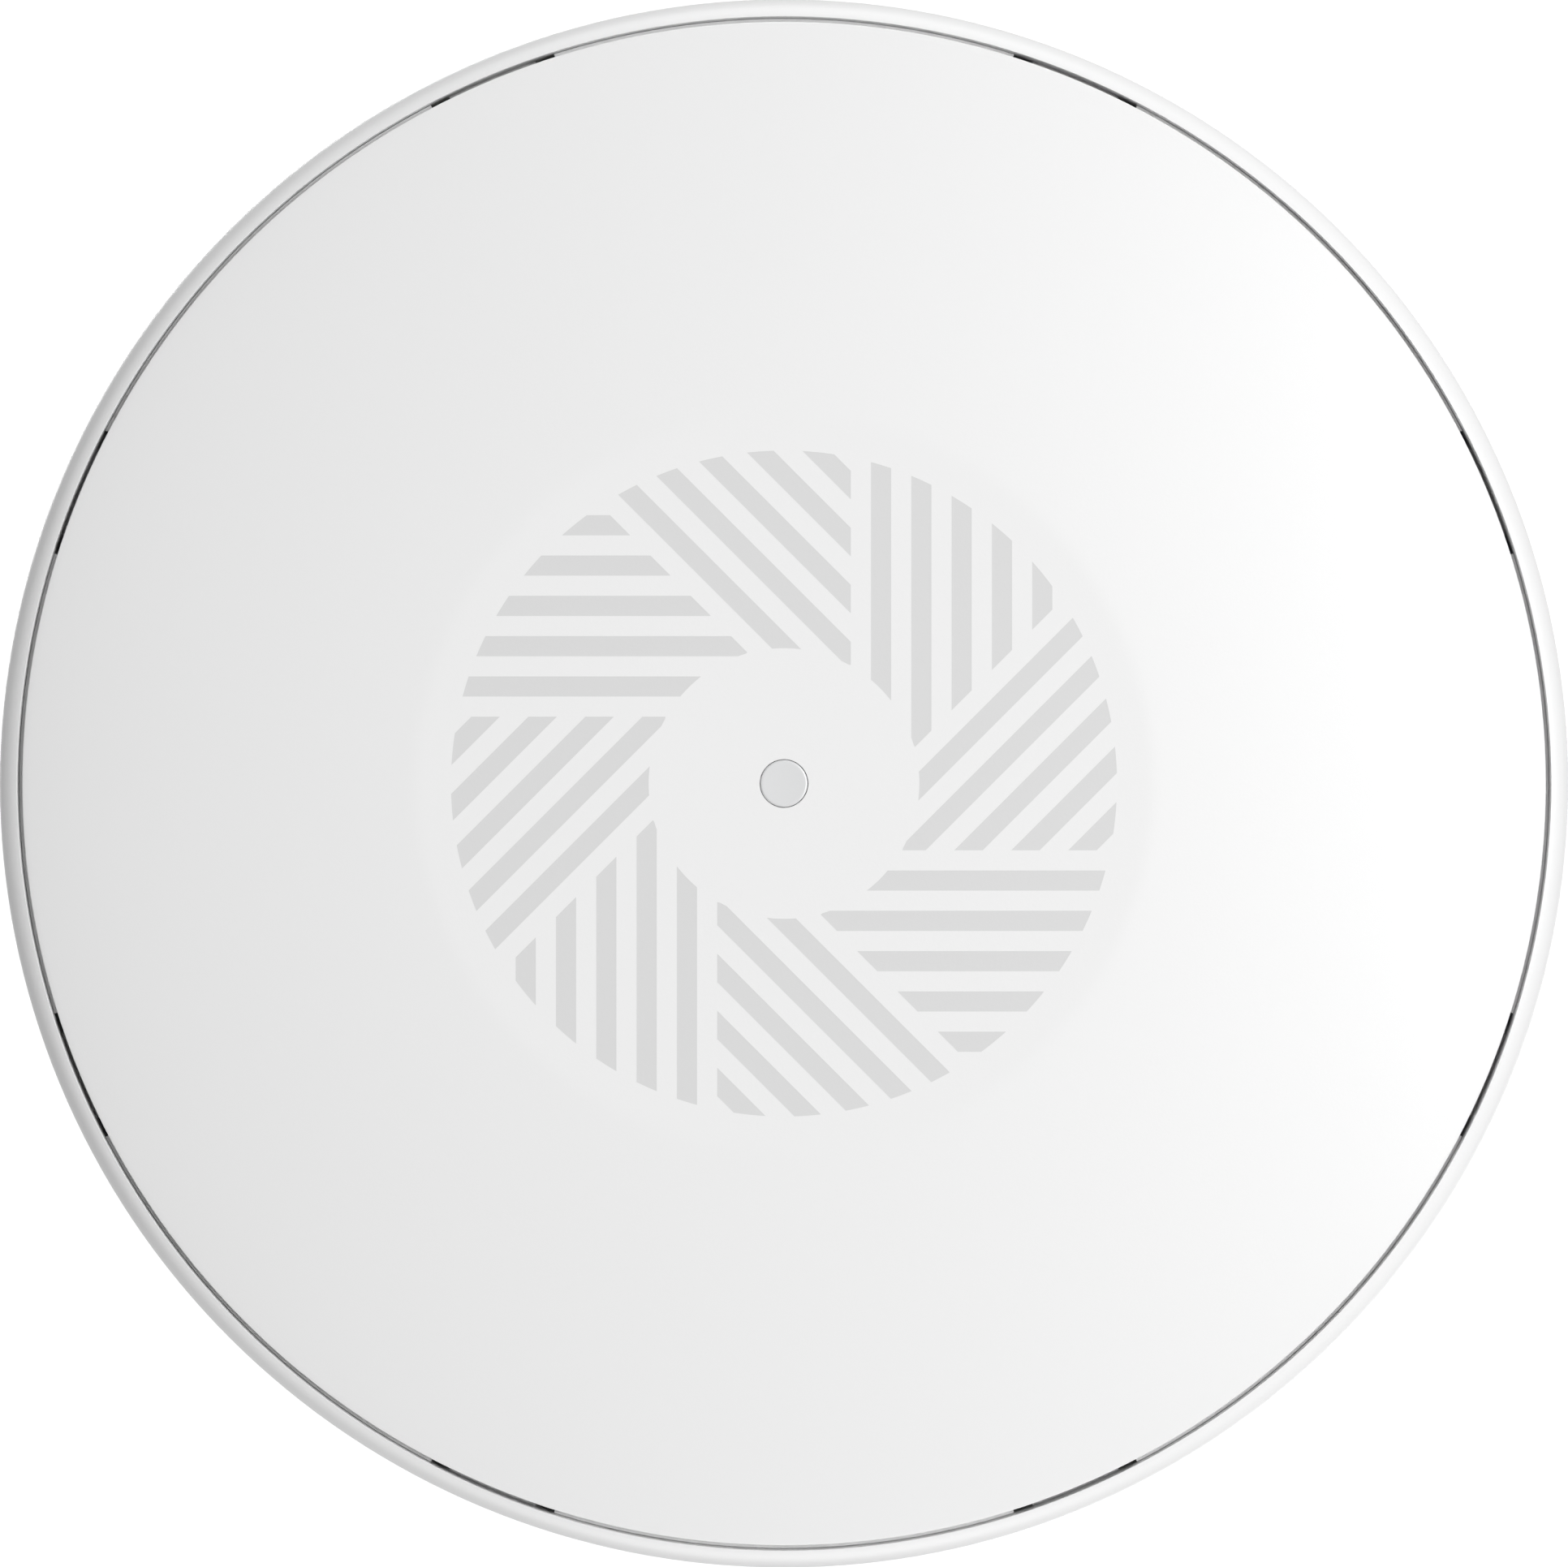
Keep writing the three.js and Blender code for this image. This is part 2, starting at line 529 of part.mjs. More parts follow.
// ---- Ceiling bracket ---------------------------------------------------------------------------
const BRACKET_TOP_Z = BRACKET_Z + BRACKET_T;
const EMBOSS_R = 6.5;
const EMBOSS_T = 1.4;
const SCREW_SLOT = { half: 2, length: 9 };

// A slot that follows the circle of radius r, from one angle to another.
function curvedSlot(r, half, fromDeg, toDeg) {
  const middle = (fromDeg + toDeg) / 2;
  const band = arcBlock(r - half, r + half, -10, 10, middle, Math.abs(toDeg - fromDeg), 4);
  const ends = [fromDeg, toDeg].map((deg) => rod(half, -10, 10, ...polar(r, deg), 12));
  return united(band, ...ends);
}

function ceilingBracket() {
  const dish = turned([
    [BRACKET_HOLE_R, BRACKET_Z],
    [BRACKET_R, BRACKET_Z],
    [BRACKET_R, 0],
    [BRACKET_R - 1.6, 0],
    [BRACKET_R - 1.6, BRACKET_TOP_Z],
    [BRACKET_HOLE_R + 1.4, BRACKET_TOP_Z],
    [BRACKET_HOLE_R + 1.4, BRACKET_TOP_Z + 1.4],
    [BRACKET_HOLE_R, BRACKET_TOP_Z + 1.4],
  ]);
  const embossed = CEILING_SLOT_DEG.map((deg) =>
    rod(EMBOSS_R, BRACKET_TOP_Z - 0.5, 0, ...polar(CEILING_SLOT_R, deg), 16));
  const hollows = CEILING_SLOT_DEG.map((deg) =>
    rod(EMBOSS_R - 1.3, BRACKET_Z - 1, -EMBOSS_T, ...polar(CEILING_SLOT_R, deg), 16));
  const slotDeg = THREE.MathUtils.radToDeg((SCREW_SLOT.length / 2 - SCREW_SLOT.half) / CEILING_SLOT_R);
  const screwSlots = CEILING_SLOT_DEG.map((deg) =>
    curvedSlot(CEILING_SLOT_R, SCREW_SLOT.half, deg - slotDeg, deg + slotDeg));
  const keyholes = STUD_DEG.map((deg) => united(
    curvedSlot(STUD_R, STUD_NECK_R + 0.5, deg + UNLOCK_DEG, deg),
    rod(STUD_HEAD_R + 0.8, -10, 10, ...polar(STUD_R, deg + UNLOCK_DEG), 16),
  ));
  const boxHoles = [-1, 1].map((side) => rod(2, -10, 10, side * 41.65, 0, 16));
  const rivetHoles = RIVET_X.map((x) => rod(1.5, -10, 10, x, -50, 12));
  const pinHole = rod(PIN.r + 0.6, -10, 10, PIN.x, PIN.y, 20);
  return cut(united(dish, ...embossed), ...hollows, ...screwSlots, ...keyholes, ...boxHoles,
    ...rivetHoles, pinHole);
}

piece('ceiling_bracket', ceilingBracket(), MATERIALS.steel);

// ---- Catch -------------------------------------------------------------------------------------
function lockSpring() {
  const leaf = block(LEAF.x0, LEAF.x1, LEAF.y0, LEAF.y1, LEAF.z0, LEAF.z1);
  const tail = rod(4, LEAF.z0, LEAF.z1, LEAF.x0, PIN.y, 16);
  const holes = RIVET_X.map((x) => rod(1.5, -10, 10, x, PIN.y, 12));
  return cut(leaf.add(tail), ...holes, rod(1.2, -10, 10, PIN.x, PIN.y, 16));
}

function catchPin() {
  return turned([
    [0, PIN.tip],
    [0.9, PIN.tip],
    [PIN.r, PIN.tip + 1.1],
    [PIN.r, LEAF.z0 - 0.05],
    [1, LEAF.z0 - 0.05],
    [1, LEAF.z1 + 0.05],
    [1.9, LEAF.z1 + 0.05],
    [1.9, LEAF.z1 + 0.9],
    [0, LEAF.z1 + 0.9],
  ], 16).translate([PIN.x, PIN.y, 0]);
}

piece('lock_spring', lockSpring(), MATERIALS.spring);
piece('catch_pin', catchPin(), MATERIALS.steel);

RIVET_X.forEach((x, i) => {
  const head = rod(2.1, LEAF.z1 + 0.05, LEAF.z1 + 0.9, x, -50, 14);
  const shank = rod(1.2, BRACKET_Z - 0.3, LEAF.z1 + 0.1, x, -50, 10);
  const tail = rod(2, BRACKET_Z - 0.5, BRACKET_Z - 0.05, x, -50, 14);
  piece(`spring_rivet_${i + 1}`, united(head, shank, tail), MATERIALS.steel);
});

export default accessPoint;
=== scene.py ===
"""Looks of the ceiling access point: smooth shells, procedural materials, light and camera.

The object's sizes are in millimetres, which MM turns into metres. The lights' places are in metres.
"""
import json
import math

import bmesh
import bpy
from mathutils import Matrix, Vector


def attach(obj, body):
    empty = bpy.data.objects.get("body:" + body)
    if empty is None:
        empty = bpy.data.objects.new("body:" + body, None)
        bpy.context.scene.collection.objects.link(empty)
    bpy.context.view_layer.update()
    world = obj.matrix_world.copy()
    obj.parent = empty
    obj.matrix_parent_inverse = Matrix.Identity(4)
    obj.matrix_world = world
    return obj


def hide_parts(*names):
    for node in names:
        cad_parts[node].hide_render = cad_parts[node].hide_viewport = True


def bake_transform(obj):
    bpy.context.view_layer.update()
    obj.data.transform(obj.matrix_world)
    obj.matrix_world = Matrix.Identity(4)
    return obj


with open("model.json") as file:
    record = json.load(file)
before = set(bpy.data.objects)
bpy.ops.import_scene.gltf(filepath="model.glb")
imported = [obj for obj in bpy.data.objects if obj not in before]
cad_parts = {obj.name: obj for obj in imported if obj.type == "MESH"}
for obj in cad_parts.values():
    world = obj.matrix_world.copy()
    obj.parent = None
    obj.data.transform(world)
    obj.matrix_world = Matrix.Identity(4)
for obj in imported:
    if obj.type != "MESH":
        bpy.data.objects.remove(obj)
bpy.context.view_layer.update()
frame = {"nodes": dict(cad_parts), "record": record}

MM = 0.001

# ---- Sizes: the part's, with a finer lip and groove ---------------------------------------------
BODY_R, FACE_Z, FLAT_R, COVER_R = 100, -38, 46.5, 96.7
RIM_MOUTH_R, GROOVE_STEP_R, WALL = 97.35, 97.28, 2
SNAPS, SNAP_PHASE, SNAP_SLOT_DEG, SNAP_RIB_DEG = 8, 22.5, 10, 7
DOME_SLOPE, DOME_GROWTH, DOME_EDGE, DOME_EDGE_POWER = 0.045, 0.115, 0.07, 6
LIP_FILLET, LIP_SIDE, LIP_START_DEG, LIP_Z = 3.06, 5.1, 18, -32.2
HOUSING_TOP_Z, HOUSING_TOP_R, SIDE_POWER, INNER_STRAIGHT_Z = -3, 88, 2.2, -27
ROSETTE = dict(sectors=8, pitch=5.08, tangent=9.69, inner=17.06, outer=41.97, rows=5)
LENS_R = 3
ROUND = 256  # steps round the large turned pieces


def cover_rise(r):
    """How far the face has risen towards the ceiling at radius r."""
    span = COVER_R - FLAT_R
    s = max(0, (r - FLAT_R) / span)
    n = DOME_EDGE_POWER + 1
    return span * (DOME_SLOPE * s + DOME_GROWTH * s * s / 2 + DOME_EDGE * s**n / n)


COVER_EDGE_Z = FACE_Z + cover_rise(COVER_R)
GROOVE_Z = COVER_EDGE_Z + 2
FLANGE_BACK_Z = GROOVE_Z + 1.4
SKIRT_OUT, SKIRT_IN, SKIRT_TOP = 95.6, 94, -24.5
RIB_R, RIB_Z0, RIB_Z1 = 96.4, -28.2, -26.8
WIDEST_Z = -27.9


def side_r(z):
    t = (z - WIDEST_Z) / (HOUSING_TOP_Z - WIDEST_Z)
    return BODY_R - (BODY_R - HOUSING_TOP_R) * t**SIDE_POWER


def polar(r, deg):
    return r * math.cos(math.radians(deg)), r * math.sin(math.radians(deg))


# ---- Meshes -------------------------------------------------------------------------------------
def mesh_object(name, verts, faces):
    mesh = bpy.data.meshes.new(name)
    mesh.from_pydata([tuple(c * MM for c in v) for v in verts], [], faces)
    made = bmesh.new()
    made.from_mesh(mesh)
    bmesh.ops.remove_doubles(made, verts=made.verts, dist=1e-7)
    bmesh.ops.recalc_face_normals(made, faces=made.faces)
    made.to_mesh(mesh)
    made.free()
    obj = bpy.data.objects.new(name, mesh)
    bpy.context.scene.collection.objects.link(obj)
    return obj


def lathe(name, profile, steps=ROUND):
    """A turned piece. A profile is (r, z) pairs that start and end on the axis, or closes on itself."""
    verts, faces = [], []
    n = len(profile)
    on_axis = profile[0][0] == 0
    for i in range(steps):
        a = 2 * math.pi * i / steps
        verts += [(r * math.cos(a), r * math.sin(a), z) for r, z in profile]
    for i in range(steps):
        j = (i + 1) % steps
        for k in range(n if not on_axis else n - 1):
            m = (k + 1) % n
            if profile[k][0] == 0:
                faces.append((i * n + k, i * n + m, j * n + m))
            elif profile[m][0] == 0:
                faces.append((i * n + k, i * n + m, j * n + k))
            else:
                faces.append((i * n + k, i * n + m, j * n + m, j * n + k))
    return mesh_object(name, verts, faces)


def prism(name, outline, z0, z1):
    n = len(outline)
    verts = [(x, y, z0) for x, y in outline] + [(x, y, z1) for x, y in outline]
    faces = [tuple(range(n)), tuple(range(n, 2 * n))]
    faces += [(i, (i + 1) % n, n + (i + 1) % n, n + i) for i in range(n)]
    return mesh_object(name, verts, faces)


def rod(name, r, z0, z1, x=0, y=0, steps=48):
    angles = [2 * math.pi * i / steps for i in range(steps)]
    return prism(name, [(x + r * math.cos(a), y + r * math.sin(a)) for a in angles], z0, z1)


def block(name, x0, x1, y0, y1, z0, z1):
    return prism(name, [(x0, y0), (x1, y0), (x1, y1), (x0, y1)], z0, z1)


def arc_block(name, r0, r1, z0, z1, centre, width, steps=12):
    angles = [centre - width / 2 + width * i / steps for i in range(steps + 1)]
    return prism(name, [polar(r1, a) for a in angles] + [polar(r0, a) for a in reversed(angles)], z0, z1)


def curved_slot(name, r, half, start, end, z0, z1, steps=16):
    """A round-ended slot that follows the circle of radius r."""
    low, high = min(start, end), max(start, end)
    angles = [low + (high - low) * i / steps for i in range(steps + 1)]
    outline = [polar(r + half, a) for a in angles]
    for deg, turn in ((high, 0), (low, 180)):
        cx, cy = polar(r, deg)
        for i in range(1, 12):
            dx, dy = polar(half, deg + turn + 180 * i / 12)
            outline.append((cx + dx, cy + dy))
        if turn == 0:
            outline += [polar(r - half, a) for a in reversed(angles)]
    return prism(name, outline, z0, z1)


def join(name, parts):
    """Several closed meshes as one object."""
    target = parts[0]
    made = bmesh.new()
    for part in parts:
        made.from_mesh(part.data)
    made.to_mesh(target.data)
    made.free()
    for part in parts[1:]:
        bpy.data.objects.remove(part)
    target.name = name
    return target


def boolean(target, tools, operation="DIFFERENCE"):
    """Cuts or adds closed meshes, and drops the tools."""
    for tool in tools:
        step = target.modifiers.new("cut", "BOOLEAN")
        step.operation, step.solver, step.object = operation, "EXACT", tool
    graph = bpy.context.evaluated_depsgraph_get()
    made = bpy.data.meshes.new_from_object(target.evaluated_get(graph))
    target.modifiers.clear()
    target.data = made
    for tool in tools:
        bpy.data.objects.remove(tool)
    return target


def smooth(obj, degrees=30):
    """Smooth faces, with creases sharper than the angle kept."""
    made = bmesh.new()
    made.from_mesh(obj.data)
    for edge in made.edges:
        flat = len(edge.link_faces) != 2 or edge.calc_face_angle(0) > math.radians(degrees)
        edge.smooth = not flat
    for face in made.faces:
        face.smooth = True
    made.to_mesh(obj.data)
    made.free()
    return obj


def bevel(obj, width, segments=2, degrees=40):
    step = obj.modifiers.new("edge", "BEVEL")
    step.width, step.segments, step.limit_method = width * MM, segments, "ANGLE"
    step.angle_limit = math.radians(degrees)
    step.harden_normals = False
    return obj


def rounded(points, radius, steps=5):
    """An outline whose corners are rounded; radius may be one size or one per corner."""
    radii = radius if isinstance(radius, (list, tuple)) else [radius] * len(points)
    out = []
    for i, (point, r) in enumerate(zip(points, radii)):
        a, p, b = Vector(points[i - 1]), Vector(point), Vector(points[(i + 1) % len(points)])
        if r <= 0:
            out.append(tuple(p))
            continue
        u, w = (a - p).normalized(), (b - p).normalized()
        half = u.angle(w) / 2
        reach = min(r / math.tan(half), (a - p).length * 0.45, (b - p).length * 0.45)
        centre = p + (u + w).normalized() * (reach / math.cos(half))
        start, end = p + u * reach - centre, p + w * reach - centre
        turn = start.angle_signed(end)
        for k in range(steps + 1):
            spun = start.copy()
            spun.rotate(Matrix.Rotation(-turn * k / steps, 2))
            out.append(tuple(centre + spun))
    return out


def shift(obj, x, y):
    obj.data.transform(Matrix.Translation(Vector((x, y, 0)) * MM))
    return obj


def place(obj, body, material, slot, *nodes):
    obj.data.materials.clear()
    obj.data.materials.append(material)
    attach(obj, body)
    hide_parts(*nodes)
    return obj


# ---- Materials ----------------------------------------------------------------------------------
def material(name, colour, rough, metal=0.0, grain=0.0, grain_scale=900.0, mottle=0.0, coat=0.0,
             brushed=False):
    """Principled material whose colour, roughness and surface vary a little, by noise in object space."""
    made = bpy.data.materials.new(name)
    made.use_nodes = True
    tree = made.node_tree
    shader = tree.nodes["Principled BSDF"]
    shader.inputs["Metallic"].default_value = metal
    shader.inputs["Coat Weight"].default_value = coat
    where = tree.nodes.new("ShaderNodeTexCoord")
    stretch = tree.nodes.new("ShaderNodeMapping")
    stretch.inputs["Scale"].default_value = (1, 40, 1) if brushed else (1, 1, 1)
    tree.links.new(where.outputs["Object"], stretch.inputs["Vector"])

    def noise(scale, detail):
        node = tree.nodes.new("ShaderNodeTexNoise")
        node.inputs["Scale"].default_value = scale
        node.inputs["Detail"].default_value = detail
        tree.links.new(stretch.outputs["Vector"], node.inputs["Vector"])
        return node

    broad = noise(35, 3)
    tint = tree.nodes.new("ShaderNodeMix")
    tint.data_type = "RGBA"
    dark = [c * (1 - mottle) for c in colour]
    tint.inputs["A"].default_value = (*dark, 1)
    tint.inputs["B"].default_value = (*colour, 1)
    tree.links.new(broad.outputs["Fac"], tint.inputs["Factor"])
    tree.links.new(tint.outputs["Result"], shader.inputs["Base Color"])
    fine = noise(grain_scale, 2)
    spread = tree.nodes.new("ShaderNodeMapRange")
    spread.inputs["To Min"].default_value = max(0.02, rough - 0.05)
    spread.inputs["To Max"].default_value = min(1.0, rough + 0.05)
    tree.links.new(fine.outputs["Fac"], spread.inputs["Value"])
    tree.links.new(spread.outputs["Result"], shader.inputs["Roughness"])
    if grain:
        bump = tree.nodes.new("ShaderNodeBump")
        bump.inputs["Strength"].default_value = grain
        bump.inputs["Distance"].default_value = 0.00005
        tree.links.new(fine.outputs["Fac"], bump.inputs["Height"])
        tree.links.new(bump.outputs["Normal"], shader.inputs["Normal"])
    return made


WHITE = material("white_shell", (0.86, 0.86, 0.86), 0.4, grain=0.15, grain_scale=2600, mottle=0.004)
STRIPE = material("grey_inlay", (0.70, 0.70, 0.70), 0.4, grain=0.15, grain_scale=2600, mottle=0.004)
LENS = material("clear_lens", (0.76, 0.765, 0.77), 0.18, coat=0.3, mottle=0.01)
CAST = material("cast_plate", (0.68, 0.69, 0.70), 0.5, metal=0.7, grain=0.6, grain_scale=1800, mottle=0.06)
ZINC = material("zinc_bracket", (0.78, 0.79, 0.80), 0.36, metal=1.0, grain=0.12, grain_scale=500, mottle=0.1)
STEEL = material("steel_fasteners", (0.6, 0.6, 0.61), 0.28, metal=1.0, grain=0.1, mottle=0.04)
SPRING = material("spring_steel", (0.33, 0.35, 0.38), 0.3, metal=1.0, grain=0.2, brushed=True, mottle=0.1)
RUBBER = material("black_rubber", (0.025, 0.025, 0.027), 0.8, grain=0.4, mottle=0.1)
BOARD = material("circuit_board", (0.02, 0.13, 0.06), 0.4, grain=0.3, mottle=0.2, coat=0.2)
TIN = material("tinned_steel", (0.68, 0.69, 0.7), 0.3, metal=1.0, grain=0.1, mottle=0.05)
PAD = material("thermal_pad", (0.28, 0.36, 0.44), 0.8, grain=0.4, mottle=0.1)
BLACK = material("black_moulding", (0.02, 0.02, 0.022), 0.45, grain=0.3, mottle=0.1)
GREY = material("grey_button", (0.16, 0.17, 0.18), 0.45, grain=0.2, mottle=0.05)
GOLD = material("gold_contacts", (0.92, 0.7, 0.32), 0.25, metal=1.0, mottle=0.03)
BY_SLOT = dict(white_shell=WHITE, grey_inlay=STRIPE, clear_lens=LENS, cast_plate=CAST, zinc_bracket=ZINC,
               steel_fasteners=STEEL, spring_steel=SPRING, black_rubber=RUBBER, circuit_board=BOARD,
               tinned_steel=TIN, thermal_pad=PAD, black_moulding=BLACK, grey_button=GREY)

# ---- Cover --------------------------------------------------------------------------------------
def rosette(name, z0, z1, strips=16):
    """Bars of the striped rosette: eight sectors of bars that run along a line tangent to a small circle."""
    sectors, pitch, tangent = ROSETTE["sectors"], ROSETTE["pitch"], ROSETTE["tangent"]
    inner, outer = ROSETTE["inner"], ROSETTE["outer"]
    half, step = pitch / 4, 2 * math.pi / sectors
    verts, faces = [], []
    for sector in range(sectors):
        c, s = math.cos(sector * step), math.sin(sector * step)
        for row in range(ROSETTE["rows"]):
            u0 = tangent + half + row * pitch
            first = len(verts)
            for i in range(strips + 1):
                u = u0 + 2 * half * i / strips
                low = -math.sqrt(outer**2 - u**2)
                high = (tangent - half - u * math.cos(step)) / math.sin(step)
                if u < inner:
                    high = min(high, -math.sqrt(inner**2 - u**2))
                for v in (low, high):
                    for z in (z0, z1):
                        verts.append((u * c - v * s, u * s + v * c, z))
            for i in range(strips):
                a, b = first + 4 * i, first + 4 * (i + 1)
                faces += [(a, a + 2, b + 2, b), (a + 1, b + 1, b + 3, a + 3)]
                faces += [(a, b, b + 1, a + 1), (a + 2, a + 3, b + 3, b + 2)]
            last = first + 4 * strips
            faces += [(first, first + 1, first + 3, first + 2), (last, last + 2, last + 3, last + 1)]
    return mesh_object(name, verts, faces)


CREASE = 0.8  # half the width over which the crease at the flat's edge is softened


def smooth_rise(r):
    """The dome's rise, with that crease softened."""
    if abs(r - FLAT_R) >= CREASE:
        return cover_rise(r)
    return cover_rise(FLAT_R + CREASE) * ((r - FLAT_R + CREASE) / (2 * CREASE)) ** 2


radii = [FLAT_R - CREASE + 0.1 * i for i in range(17)]
radii += [48.5 + 1.5 * i for i in range(29)]
radii += [92 + 0.75 * i for i in range(7)]
top = [(r, FACE_Z + smooth_rise(r)) for r in radii if r < COVER_R - 0.4]
under = [(r, FACE_Z + WALL + cover_rise(r)) for r in (92, 88, 84, 78, 70, 62, 54, FLAT_R)]
edge = rounded([top[-1], (COVER_R, COVER_EDGE_Z), (COVER_R, GROOVE_Z)], [0, 0.22, 0])
skirt = [(GROOVE_STEP_R, GROOVE_Z), (GROOVE_STEP_R, FLANGE_BACK_Z), (SKIRT_OUT, FLANGE_BACK_Z),
         (SKIRT_OUT, SKIRT_TOP), (SKIRT_IN, SKIRT_TOP), (SKIRT_IN, FACE_Z + WALL + cover_rise(SKIRT_IN))]
cover = lathe("front_cover_visual", [(0, FACE_Z), (44, FACE_Z)] + top[:-1] + edge + skirt + under
              + [(0, FACE_Z + WALL)])
snap_angles = [SNAP_PHASE + i * 360 / SNAPS for i in range(SNAPS)]
slots = [arc_block("slot", SKIRT_OUT + 0.1, 98.5, GROOVE_Z - 0.01, FLANGE_BACK_Z + 1, a, SNAP_SLOT_DEG)
         for a in snap_angles]
boolean(cover, [join("slots", slots), rosette("windows", FACE_Z - 1, FACE_Z + WALL + 1),
                rod("lens_hole", LENS_R + 0.06, FACE_Z - 1, FACE_Z + WALL + 1, steps=96)])
hooks = [arc_block("hook", 95, 96.9, RIB_Z1 + 0.3, SKIRT_TOP, a, 6) for a in snap_angles]
cover = join("cover_shell", [cover, *hooks])
place(smooth(cover), "access_point", WHITE, "white_shell", "front_cover")

inlay = join("stripe_bars", [rosette("bars", FACE_Z, FACE_Z + WALL + 0.3),
                             lathe("backing", [(14, FACE_Z + WALL + 0.1), (45, FACE_Z + WALL + 0.1),
                                               (45, FACE_Z + WALL + 1.3), (14, FACE_Z + WALL + 1.3)], 96)])
place(smooth(inlay), "access_point", STRIPE, "grey_inlay", "stripe_inlay")

lens = lathe("status_window", [(0, FACE_Z + 0.05), (2.2, FACE_Z + 0.04)]
             + rounded([(2.4, FACE_Z + 0.03), (LENS_R, FACE_Z), (LENS_R, FACE_Z + WALL)], [0, 0.3, 0])
             + [(0, FACE_Z + WALL)], 96)
place(smooth(lens), "access_point", LENS, "clear_lens", "status_lens")

# ---- Housing ------------------------------------------------------------------------------------
lip, r, z, tilt = [], RIM_MOUTH_R + 0.06, LIP_Z, LIP_START_DEG
while tilt < 90:  # the crest turns tightly at first, then more slowly into the side wall
    lip.append((r, z))
    bend = LIP_FILLET if tilt < 50 else LIP_SIDE
    step = math.radians(4)
    middle = math.radians(tilt) + step / 2
    r, z, tilt = r + bend * step * math.cos(middle), z + bend * step * math.sin(middle), tilt + 4
lip.append((BODY_R, z))
mouth = rounded([(RIM_MOUTH_R, INNER_STRAIGHT_Z), (RIM_MOUTH_R, LIP_Z + 0.14), lip[0]], [0, 0.3, 0], 4)[1:-1]
outer = [(side_r(z), z) for z in [-27 + i for i in range(23)]]
shoulder = rounded([(side_r(-4.4), -4.4), (HOUSING_TOP_R - 0.9, HOUSING_TOP_Z), (83.2, HOUSING_TOP_Z),
                    (83.2, -5.6)], [0, 0.5, 0.3, 0], 4)
ledge = [(77, -5.6), (77, -7.4), (side_r(-7.4) - WALL - 0.6, -7.4)]
inner = [(side_r(z) - WALL, z) for z in (-9.5, -12, -15, -18, -21, -24)]
housing = lathe("rim_shell", mouth + lip + outer + shoulder + ledge + inner
                + [(RIM_MOUTH_R, INNER_STRAIGHT_Z)])
ribs = [arc_block("rib", RIB_R, 98.4, RIB_Z0, RIB_Z1, a, SNAP_RIB_DEG) for a in snap_angles]
seats = [arc_block("seat", RIB_R, 98.4, FLANGE_BACK_Z + 0.3, RIB_Z1, i * 360 / SNAPS, 18)
         for i in range(SNAPS)]
housing = join("rim_shell", [housing, *ribs, *seats])
place(smooth(housing), "access_point", WHITE, "white_shell", "rim_housing")

# ---- Back plate ---------------------------------------------------------------------------------
DISH_R, DISH_TOP_Z, PLATE_R, PLATE_TOP_Z, PLATE_T = 66, -5.5, 82.9, -3.2, 1.8
BAY = dict(x0=-22, x1=24, y0=-18, y1=34, floor=-19.2)
JACK_X, JACK_DOOR_HALF, JACK_Z0 = (-9.5, 8.5), 8.3, -21.25
STUD_R, STUD_DEG, UNLOCK_DEG = 52, (0, 120, 240), -15
BACK_SCREW_R, BACK_SCREW_DEG = 80, (45, 135, 225, 315)
STANDOFF_R, STANDOFF_DEG = 62, (30, 150, 210, 330)
RESET_X, RESET_Z = 20.5, -13
PIN_X, PIN_Y, PIN_R, PIN_TIP, PIN_LIFT = -9.4, -50, 2, -6.6, 1.3
RIVET_X = (6, 10.5)
FINS = 36


def catch_ramp(name):
    """The pocket whose floor climbs to the plate's surface as the unit is turned to unlocked."""
    r, locked = math.hypot(PIN_X, PIN_Y), math.degrees(math.atan2(PIN_Y, PIN_X))
    room = math.degrees((PIN_R + 0.4) / r)
    steps, verts, faces = 24, [], []
    for i in range(steps + 1):
        angle = locked - room + (2 * room - UNLOCK_DEG) * i / steps
        floor = PIN_TIP - 0.25 + max(0, (angle - locked) / -UNLOCK_DEG) * PIN_LIFT
        for radius in (r - PIN_R - 0.6, r + PIN_R + 0.6):
            x, y = polar(radius, angle)
            verts += [(x, y, floor), (x, y, DISH_TOP_Z + 1)]
    for i in range(steps):
        a, b = 4 * i, 4 * (i + 1)
        faces += [(a, b, b + 2, a + 2), (a + 1, a + 3, b + 3, b + 1)]
        faces += [(a, a + 1, b + 1, b), (a + 2, b + 2, b + 3, a + 3)]
    faces += [(0, 2, 3, 1), (4 * steps, 4 * steps + 1, 4 * steps + 3, 4 * steps + 2)]
    return mesh_object(name, verts, faces)


def box_outline(x0, x1, y0, y1, radius):
    return rounded([(x0, y0), (x1, y0), (x1, y1), (x0, y1)], radius)


def bay_outline(grow, radius):
    return box_outline(BAY["x0"] - grow, BAY["x1"] + grow, BAY["y0"] - grow, BAY["y1"] + grow, radius)


brim = rounded([(60, DISH_TOP_Z), (DISH_R, DISH_TOP_Z), (DISH_R + 1.5, PLATE_TOP_Z), (PLATE_R, PLATE_TOP_Z),
                (PLATE_R, PLATE_TOP_Z - PLATE_T), (75, PLATE_TOP_Z - PLATE_T)], [0, 0.6, 0.5, 0.3, 0.2, 0])
plate = lathe("back_casting", [(0, DISH_TOP_Z), (60, DISH_TOP_Z)] + brim[1:]
              + [(DISH_R + 3.5, PLATE_TOP_Z - PLATE_T), (DISH_R + 2, DISH_TOP_Z - 2), (0, DISH_TOP_Z - 2)])
bay_wall = prism("bay_wall", bay_outline(1.5, 2.4), BAY["floor"] - 1.2, DISH_TOP_Z - 0.5)
boolean(plate, [bay_wall], "UNION")
bay_room = prism("bay_room", bay_outline(0, 1.2), BAY["floor"], 0)
